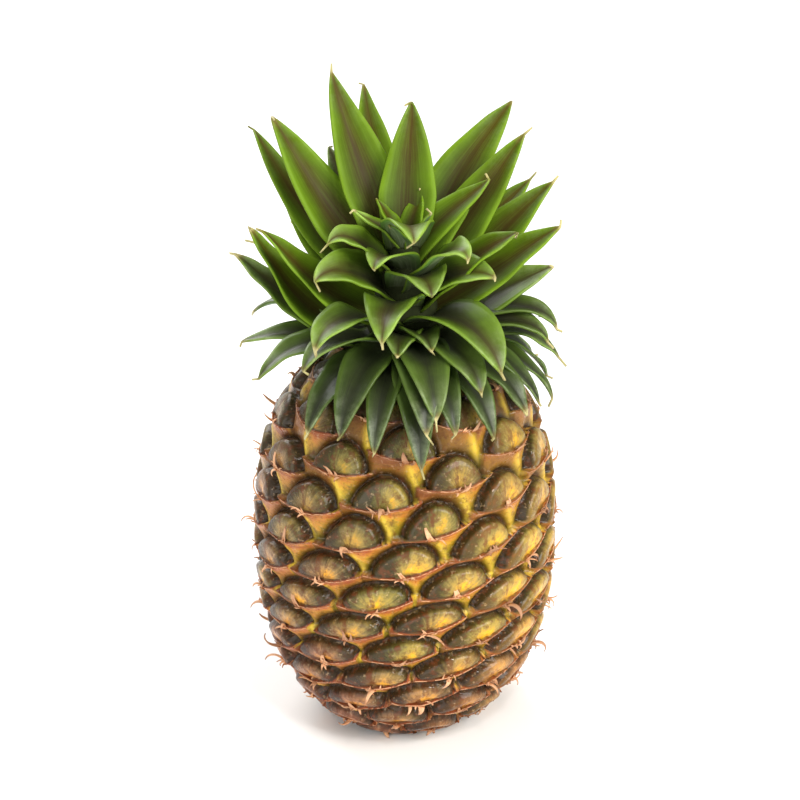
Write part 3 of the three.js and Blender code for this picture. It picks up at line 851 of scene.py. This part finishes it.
def make_rind():
    """A grid closed into a ball and laid over the barrel, raised into eyes and bracts."""
    bm = bmesh.new()
    verts, x, up = add_grid(bm, SKIN_COLUMNS, SKIN_ROWS)
    turn, rise = x * pi, (up - 0.5) * pi
    ball = np.stack([np.sin(turn) * np.cos(rise), -np.cos(turn) * np.cos(rise), np.sin(rise)], axis=1)
    for v, place in zip(verts, ball):
        v.co = place
    bmesh.ops.remove_doubles(bm, verts=[v for v in verts if v.is_boundary], dist=1e-5)
    piece = finish_piece(bm, "rind", [rind_finish()], "fruit")
    mesh = piece.data
    ball = np.empty(len(mesh.vertices) * 3, dtype=np.float32)
    mesh.vertices.foreach_get("co", ball)
    ball = ball.reshape(-1, 3).astype(float)
    azimuth = np.arctan2(ball[:, 0], -ball[:, 1])
    s = (np.arcsin(np.clip(ball[:, 2], -1, 1)) / pi + 0.5) * SKIN["s"][-1]
    seen = relief(azimuth, s)
    point, out, _, _ = skin_frame(azimuth, s)
    point += out * seen["height"][:, None]
    point[:, 2] = np.clip(point[:, 2], SKIN_CLEAR, SEAT_HEIGHT)
    hollow = (s < SKIN["s"][-1] / 2) & (on_skin("r", s) < STALK_RADIUS + STALK_GAP + 0.3)
    point[hollow, 2] = STALK_LENGTH + STALK_GAP
    mesh.vertices.foreach_set("co", (point * MM).astype(np.float32).ravel())

    pick = np.random.default_rng(SEED).random((len(EYE_LENGTH), 2))
    focus = 0.3 * pick[seen["eye"], 0] + 0.02
    x, y = (seen["share"] - focus) * 1.5, (seen["along"] - 0.25) * 1.1
    # painted light: the right (+x) side, towards the key light, gets a yellower tint and a wider yellow
    # middle in its domes
    painted_light_right = smooth(5, 60, point[:, 0])
    centre = np.hypot(x, y) + 0.2 * EYE_RIPENESS[seen["eye"]] - 0.24 * painted_light_right
    centre = np.where(seen["over"] > 0, centre, 0.5 + seen["beside"] / 16)
    add_values(mesh, "eye_place", "FLOAT_VECTOR", seen["share"], seen["along"], centre)
    ray_x, ray_y = seen["share"], seen["along"] + 0.05
    size = np.hypot(ray_x, ray_y) + 0.02
    turn = pick[seen["eye"], 1] * 40
    add_values(mesh, "eye_ray", "FLOAT_VECTOR", ray_x / size * 2, ray_y / size * 2, turn)
    add_values(mesh, "eye_edges", "FLOAT_VECTOR", seen["gap"], seen["over"], seen["ridge"])
    add_values(mesh, "dome_reach", "FLOAT", seen["reach"])
    height = point[:, 2]
    # browner towards the bottom and on the left (-x) side, with a share drawn for each eye
    brown = 0.75 * (1 - smooth(15, 80, height)) + 0.55 * smooth(0, 50, -point[:, 0] - 0.2 * (height - 60))
    brown = np.clip(brown + (pick[seen["eye"], 1] - 0.5) * 0.5, 0, 1)
    # painted shade: darker under the crown's leaves and at the base where the fruit meets the floor
    shade = 0.22 * smooth(95, 130, height) + 0.4 * smooth(138, 156, height)
    shade += 0.6 * (1 - smooth(0, 9, height))
    add_values(mesh, "rind_tone_and_painted_light", "FLOAT_VECTOR", brown, painted_light_right, np.clip(shade, 0, 0.85))
    mesh.update()
    return piece


def add_grid(bm, columns, rows):
    """A flat grid, and its points' places: -1 to 1 across and 0 to 1 along."""
    verts = bmesh.ops.create_grid(bm, x_segments=columns, y_segments=rows, size=1)["verts"]
    flat = np.array([v.co for v in verts])
    return verts, flat[:, 0], (flat[:, 1] + 1) / 2


def lay(verts, points):
    for v, point in zip(verts, points):
        v.co = point * MM


def add_bract_margin(bm, i, size, rng):
    """The thin free edge of a bract, standing along its eye's margin line."""
    verts, x, up = add_grid(bm, MARGIN_COLUMNS, 2)
    share = np.sign(x) * np.abs(x) ** 1.3 * 0.98
    across = np.where(share < 0, -share * CELLS[i, 0, 0], share * CELLS[i, 1, 0])
    line, _ = margin(np.full(len(share), i), across)
    azimuth = EYE_AZIMUTH[i] + across / EYE_RADIUS[i]
    base = relief(azimuth, EYE_LENGTH[i] + line - 0.8)["height"]
    torn = rng.uniform(0.2, 1.3, MARGIN_COLUMNS + 1)[np.rint((x + 1) * MARGIN_COLUMNS / 2).astype(int)]
    tall = size * torn * (0.15 + 0.6 * (1 - np.abs(share)) ** 0.7)
    point, out, rise, _ = skin_frame(azimuth, EYE_LENGTH[i] + line - 0.9)
    point += out * (base - 0.6 + 0.75 * up * tall + 0.6 * up)[:, None]
    point += rise * (0.2 + 0.95 * up * tall)[:, None]
    point[:, 2] = np.maximum(point[:, 2], SKIN_CLEAR)
    lay(verts, point)
    return [(u, 0.0) for u in up]


def add_bract_point(bm, i, size, share, width, rng):
    """A dry point of a bract: a ribbon that narrows to a thread and curls at random."""
    verts, x, up = add_grid(bm, 3, 9)
    across = share * (CELLS[i, 1, 0] if share > 0 else -CELLS[i, 0, 0])
    line = margin(np.array([i]), np.array([across]))[0][0]
    azimuth = np.array([EYE_AZIMUTH[i] + across / EYE_RADIUS[i]])
    base = relief(azimuth, np.array([EYE_LENGTH[i] + line - 0.8]))["height"][0]
    places = skin_frame(azimuth, np.array([EYE_LENGTH[i] + line - 1.2]))
    point, out, rise, round_way = (v[0] for v in places)
    start, bend, drift, spin = rng.uniform((5, -140, -0.8, -1.4), (85, 170, 0.8, 1.4))
    t = np.linspace(0, 1, POINT_STEPS + 1)
    lean = np.radians(start + bend * t**1.4)
    steps = np.cos(lean)[:, None] * rise + np.sin(lean)[:, None] * out
    steps = steps + round_way * (drift + spin * t[:, None] ** 2)
    steps /= np.linalg.norm(steps, axis=1)[:, None]
    path = point + out * (base - 0.5) + np.cumsum(steps, axis=0) / POINT_STEPS * size
    k = np.rint(up * POINT_STEPS).astype(int)
    wide = width * (1 - up) ** 0.8 + 0.22
    cup = out * (0.3 * width * x**2 * (1 - up))[:, None]
    places = path[k] + round_way * (x * wide / 2)[:, None] + cup
    places[:, 2] = np.maximum(places[:, 2], SKIN_CLEAR)
    lay(verts, places)
    return [(u, 1.0) for u in up]


def make_bracts():
    """The papery edges of the bracts, each with a curled point and a few loose shreds."""
    sizes = bpy.context.scene.pineapple_bracts
    longest, widest = sizes.length / MM, sizes.width / MM
    rng = np.random.default_rng(SEED + 1)
    bm = bmesh.new()
    values = []
    for i in range(len(EYE_LENGTH)):
        z = on_skin("z", EYE_LENGTH[i])
        if z < 4:
            continue
        size = 1 - 0.5 * smooth(SHADED_ABOVE - 10, SHADED_ABOVE + 12, z)
        size -= 0.45 * (1 - smooth(12, 34, z))
        pick = rng.random()
        made = add_bract_margin(bm, i, size, rng)
        length, width = size * longest * rng.uniform(0.4, 1.0), widest * rng.uniform(0.6, 1.0)
        made += add_bract_point(bm, i, length, rng.uniform(-0.06, 0.06), width, rng)
        for _ in range(rng.integers(3, 7)):
            length, width = size * longest * rng.uniform(0.15, 0.45), widest * rng.uniform(0.2, 0.6)
            made += add_bract_point(bm, i, length, rng.normal(0, 0.13), width, rng)
        values += [(up, pick, free) for up, free in made]
    piece = finish_piece(bm, "bracts", [bract_finish()], "fruit")
    add_values(piece.data, "bract_place", "FLOAT_VECTOR", *np.array(values).T)
    solid = piece.modifiers.new("thickness", "SOLIDIFY")
    solid.thickness = sizes.thickness
    solid.offset = 0
    return piece


# The crown


def stem_radius(height):
    share = max(0, (height - STEM_TAPER_FROM) / (STEM_LENGTH - STEM_TAPER_FROM))
    return STEM_RADIUS + (STEM_TOP_RADIUS - STEM_RADIUS) * share


def far_leaves():
    """The leaves of the far side, tier by tier, by the same rule and draws as the solids."""
    state = FAR_SEED
    tiers = []
    for count, first, turn, (root, reach, tip, launch, end, width) in FAR_TIERS:
        tiers.append([])
        for i in range(count):
            draws = []
            for _ in range(3):
                state = (state * 16807) % 2147483647
                draws.append(FAR_SPREAD * ((state / 2147483647) * 2 - 1))
            azimuth = first + turn * i + draws[0]
            tiers[-1].append((azimuth, root, reach + draws[1], tip + draws[2], launch, end, width, 0))
    return tiers


def midline(leaf, t):
    """Points and directions along a leaf's middle line, a Bezier in an upright plane."""
    azimuth, root, reach, tip, launch, end = leaf[:6]
    out = np.array((sin(radians(azimuth)), -cos(radians(azimuth)), 0))
    up = np.array((0, 0, 1))
    a = out * (stem_radius(root) - ROOT_SINK) + up * (SEAT_HEIGHT + root)
    d = out * reach + up * (SEAT_HEIGHT + tip)
    span = np.linalg.norm(d - a)
    b = a + (out * cos(radians(launch)) + up * sin(radians(launch))) * ROOT_STIFFNESS * span
    c = d - (out * cos(radians(end)) + up * sin(radians(end))) * TIP_STIFFNESS * span
    t = t[:, None]
    point = a * (1 - t) ** 3 + b * 3 * (1 - t) ** 2 * t + c * 3 * (1 - t) * t**2 + d * t**3
    along = (b - a) * (1 - t) ** 2 + (c - b) * 2 * (1 - t) * t + (d - c) * t**2
    return point, along / np.linalg.norm(along, axis=1)[:, None]


def off_fruit(points, clear):
    """How far points have to move to stay clear of the rind."""
    r = np.hypot(points[:, 0], points[:, 1])
    away = (SKIN["r"] - r[:, None]) ** 2 + (SKIN["z"] - points[:, 2, None]) ** 2
    i = away.argmin(axis=1)
    nr, nz = SKIN["nr"][i], SKIN["nz"][i]
    short = clear - (r - SKIN["r"][i]) * nr - (points[:, 2] - SKIN["z"][i]) * nz
    out = np.stack([points[:, 0] / r * nr, points[:, 1] / r * nr, nz], axis=1)
    return out * np.maximum(0, short)[:, None]


def add_leaf(bm, uv_layer, leaf, rng):
    """One blade: a grid laid along its middle line, troughed, waved and drawn out at the tip."""
    width, roll = leaf[6:8]
    sizes = bpy.context.scene.pineapple_crown
    draws = rng.random(9)
    verts, x, along_leaf = add_grid(bm, LEAF_COLUMNS, LEAF_ROWS)
    t = along_leaf**0.9
    middle, along = midline(leaf, t)
    azimuth = radians(leaf[0])
    across = np.array((-cos(azimuth), -sin(azimuth), 0))
    turn = np.radians(roll + (draws[0] - 0.5) * 20 * t)[:, None]
    side = across * np.cos(turn) + np.cross(along, across) * np.sin(turn)
    side += along * ((along @ across)[:, None] * (1 - np.cos(turn)))
    face = np.cross(side, along)
    body = np.maximum(0, 1 - (t / (TIP_FROM + 0.015)) ** 1.75) ** 0.85
    root = 1 - 0.4 * np.maximum(0, 1 - 3 * t)
    half = width / 2 * np.maximum(body * root, 0.04 * (1.03 - t) / (1.03 - TIP_FROM))
    thread = np.maximum(0, (t - TIP_FROM) / (1 - TIP_FROM))
    hook = np.array((draws[1] - 0.5, draws[2] - 0.5, 0.8 * (draws[3] - 0.65))) * 6
    middle = middle + hook * (thread**1.7)[:, None]
    edge = face * (sizes.trough * half)[:, None]
    lines = [middle - face * 0.6] + [middle + side * (half * k)[:, None] + edge for k in (-1, 1)]
    clear = LEAF_CLEAR + min(CLEAR_MORE, CLEAR_STEP * (leaf[1] - 2))
    pushes = np.stack([off_fruit(line, clear) for line in lines])
    longest = np.linalg.norm(pushes, axis=2).argmax(axis=0)
    middle = middle + pushes[longest, np.arange(len(t))]
    trough = sizes.trough * half * np.abs(x) ** 1.3
    phase = 2 * pi * (1.5 + 2 * draws[4]) * t + 6 * draws[5] + 1.3 * (x > 0)
    wave = (0.2 + 0.5 * draws[6]) * x**2 * np.sin(phase) * np.minimum(1, half / 4)
    lay(verts, middle + side * (half * x)[:, None] + face * (trough + wave)[:, None])
    places = {v: ((a + 1) / 2, b) for v, a, b in zip(verts, x, t)}
    for face in {face for v in verts for face in v.link_faces}:
        for loop in face.loops:
            loop[uv_layer].uv = places[loop.vert]
    return [draws[7]] * len(verts)


def make_leaves(name, leaves, ages, upper="waxy_leaf_upper_face", bloom_sheen_shade=0.0):
    """A group of leaves as one piece, with a finish for each of their two faces."""
    rng = np.random.default_rng([SEED, *name.encode()])
    bm = bmesh.new()
    uv_layer = bm.loops.layers.uv.new("blade")
    kinds = []
    for leaf, age in zip(leaves, ages):
        kinds += [(age, pick, bloom_sheen_shade) for pick in add_leaf(bm, uv_layer, leaf, rng)]
    finishes = [bpy.data.materials[n] for n in (upper, "silvery_leaf_underside")]
    piece = finish_piece(bm, name, finishes, "crown")
    add_values(piece.data, "leaf_kind", "FLOAT_VECTOR", *np.array(kinds).T)
    solid = piece.modifiers.new("thickness", "SOLIDIFY")
    solid.thickness = bpy.context.scene.pineapple_crown.thickness
    solid.offset = 0
    solid.material_offset = 1
    solid.material_offset_rim = 0
    return piece


def make_stem():
    """The crown's stem: a tapered body of revolution."""
    bm = bmesh.new()
    profile = [(0, 0.6), (STEM_RADIUS, 0.6), (STEM_RADIUS, STEM_TAPER_FROM)]
    profile += [(STEM_TOP_RADIUS, STEM_LENGTH), (0, STEM_LENGTH + 2)]
    verts = [bm.verts.new((r * MM, 0, (SEAT_HEIGHT + z) * MM)) for r, z in profile]
    edges = [bm.edges.new(pair) for pair in zip(verts, verts[1:])]
    turned = verts + edges
    bmesh.ops.spin(bm, geom=turned, axis=(0, 0, 1), angle=2 * pi, steps=48, use_merge=True)
    bmesh.ops.remove_doubles(bm, verts=bm.verts, dist=1e-6)
    bmesh.ops.recalc_face_normals(bm, faces=bm.faces)
    return finish_piece(bm, "crown_stem", [stem_finish()], "crown")


# The stage


def add_light(name, place, size, power, colour):
    """A square soft light that faces the fruit."""
    light = bpy.data.lights.new(name, "AREA")
    light.energy, light.size, light.color = power, size, colour
    lamp = bpy.data.objects.new(name, light)
    lamp.location = place
    lamp.rotation_euler = (Vector((0, 0, 0.13)) - lamp.location).to_track_quat("-Z", "Y").to_euler()
    bpy.context.scene.collection.objects.link(lamp)


class StageSettings(bpy.types.PropertyGroup):
    """Floor, light and camera."""

    floor_size: bpy.props.FloatProperty(
        name="Floor size", description="Side of the square floor", default=6.0, unit="LENGTH"
    )
    floor_colour: bpy.props.FloatVectorProperty(
        name="Floor colour", description="Floor", subtype="COLOR", size=4, default=linear("#F2F2F0")
    )
    key_power: bpy.props.FloatProperty(
        name="Key light",
        description="Power of the light from the upper right", default=21.0, unit="POWER"
    )
    fill_power: bpy.props.FloatProperty(
        name="Fill light", description="Power of the light from the left", default=8.5, unit="POWER"
    )
    sky: bpy.props.FloatProperty(
        name="Sky", description="Even light from all round", default=0.46, subtype="FACTOR"
    )
    distance: bpy.props.FloatProperty(
        name="Camera distance", description="From the fruit's middle", default=1.2, unit="LENGTH"
    )
    elevation: bpy.props.FloatProperty(
        name="Camera elevation", description="Above the horizon", default=radians(27), subtype="ANGLE"
    )
    aim_above: bpy.props.FloatProperty(
        name="Aim above", description="Over the fruit's middle", default=radians(2.32), subtype="ANGLE"
    )
    aim_left: bpy.props.FloatProperty(
        name="Aim left", description="Left of the axis", default=radians(0.107), subtype="ANGLE"
    )
    lens: bpy.props.FloatProperty(
        name="Lens", description="Focal length on a 36 mm sensor", default=132.3, unit="CAMERA"
    )


class PINEAPPLE_OT_rind(bpy.types.Operator):
    """Make the rind with its raised eyes"""

    bl_idname = "pineapple.rind"
    bl_label = "Rind"

    def execute(self, context):
        make_rind()
        return {"FINISHED"}


class PINEAPPLE_OT_bracts(bpy.types.Operator):
    """Make the dry papery bracts"""

    bl_idname = "pineapple.bracts"
    bl_label = "Bracts"

    def execute(self, context):
        make_bracts()
        return {"FINISHED"}


class PINEAPPLE_OT_crown(bpy.types.Operator):
    """Make the crown's stem and leaves"""

    bl_idname = "pineapple.crown"
    bl_label = "Crown"

    def execute(self, context):
        leaf_finish("satin_leaf_upper_face", 0.08)
        leaf_finish("waxy_leaf_upper_face", 0.3)
        underside_finish()
        make_stem()
        skirt, arched, upper, back = far_leaves()
        ages = [0.1] * len(ERECT_LEAVES + BUD_LEAVES)
        make_leaves("erect_leaves", ERECT_LEAVES + BUD_LEAVES, ages, "satin_leaf_upper_face")
        make_leaves("heart_leaves", HEART_LEAVES, HEART_AGES, bloom_sheen_shade=0.65)
        make_leaves("arched_leaves", ARCHED_LEAVES, ARCHED_AGES, bloom_sheen_shade=0.45)
        make_leaves("skirt_leaves", SKIRT_LEAVES, [1.0] * len(SKIRT_LEAVES))
        make_leaves("far_low_leaves", skirt + arched, [0.9] * len(skirt + arched))
        make_leaves("far_high_leaves", upper + back, [0.4] * len(upper + back))
        return {"FINISHED"}


class PINEAPPLE_OT_stalk(bpy.types.Operator):
    """Finish the cut stalk under the base"""

    bl_idname = "pineapple.stalk"
    bl_label = "Stalk"

    def execute(self, context):
        made = stalk_finish()
        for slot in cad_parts["stalk"].material_slots:
            slot.material = made
        return {"FINISHED"}


class PINEAPPLE_OT_stage(bpy.types.Operator):
    """Lay the floor, hang the lights and set the camera"""

    bl_idname = "pineapple.stage"
    bl_label = "Stage"

    def execute(self, context):
        settings = context.scene.pineapple_stage
        bm = bmesh.new()
        bmesh.ops.create_grid(bm, x_segments=1, y_segments=1, size=settings.floor_size / 2)
        mesh = bpy.data.meshes.new("floor")
        bm.to_mesh(mesh)
        bm.free()
        floor = bpy.data.objects.new("floor", mesh)
        context.scene.collection.objects.link(floor)
        made, shader = new_material("matt_white_backdrop", 0.9, specular=0.1)
        shader.inputs["Base Color"].default_value = settings.floor_colour
        mesh.materials.append(made)
        add_light("key", (0.9, -0.75, 0.85), 0.7, settings.key_power, (1, 0.98, 0.94))
        add_light("fill", (-0.55, -1.1, 0.45), 0.9, settings.fill_power, (1, 1, 1))
        add_light("glint", (0.25, -0.8, 1.1), 0.12, settings.fill_power * 0.4, (1, 1, 1))
        add_light("back", (-0.45, 0.7, 0.8), 0.8, settings.fill_power * 1.6, (1, 1, 1))
        world = bpy.data.worlds.new("studio")
        world.use_nodes = True
        background = world.node_tree.nodes["Background"]
        background.inputs["Color"].default_value = (1, 1, 1, 1)
        background.inputs["Strength"].default_value = settings.sky
        context.scene.world = world
        context.scene.view_settings.view_transform = "Standard"

        camera = bpy.data.cameras.new("camera")
        camera.sensor_width = 36
        camera.lens = settings.lens
        eye = bpy.data.objects.new("camera", camera)
        context.scene.collection.objects.link(eye)
        rise = settings.elevation
        away, above = settings.distance * cos(rise), settings.distance * sin(rise)
        eye.location = (0, -away, BELLY_HEIGHT * MM + above)
        eye.rotation_euler = (pi / 2 - rise + settings.aim_above, 0, settings.aim_left)
        context.scene.camera = eye
        return {"FINISHED"}


OPERATORS = (
    PINEAPPLE_OT_rind,
    PINEAPPLE_OT_bracts,
    PINEAPPLE_OT_crown,
    PINEAPPLE_OT_stalk,
    PINEAPPLE_OT_stage,
)


class PINEAPPLE_PT_panel(bpy.types.Panel):
    """The buttons that make each piece"""

    bl_idname = "PINEAPPLE_PT_panel"
    bl_label = "Pineapple"
    bl_space_type = "VIEW_3D"
    bl_region_type = "UI"
    bl_category = "Pineapple"

    def draw(self, context):
        for maker in OPERATORS:
            self.layout.operator(maker.bl_idname)


SETTINGS = {
    "pineapple_rind": RindSettings,
    "pineapple_bracts": BractSettings,
    "pineapple_crown": CrownSettings,
    "pineapple_stalk": StalkSettings,
    "pineapple_stage": StageSettings,
}
CLASSES = (*SETTINGS.values(), *OPERATORS, PINEAPPLE_PT_panel)


def register():
    for each in CLASSES:
        bpy.utils.register_class(each)
    for name, group in SETTINGS.items():
        setattr(bpy.types.Scene, name, bpy.props.PointerProperty(type=group))


def unregister():
    for name in SETTINGS:
        delattr(bpy.types.Scene, name)
    for each in reversed(CLASSES):
        bpy.utils.unregister_class(each)


def main():
    register()
    bpy.ops.pineapple.rind()
    bpy.ops.pineapple.bracts()
    bpy.ops.pineapple.crown()
    bpy.ops.pineapple.stalk()
    bpy.ops.pineapple.stage()


if __name__ == "__main__":
    main()
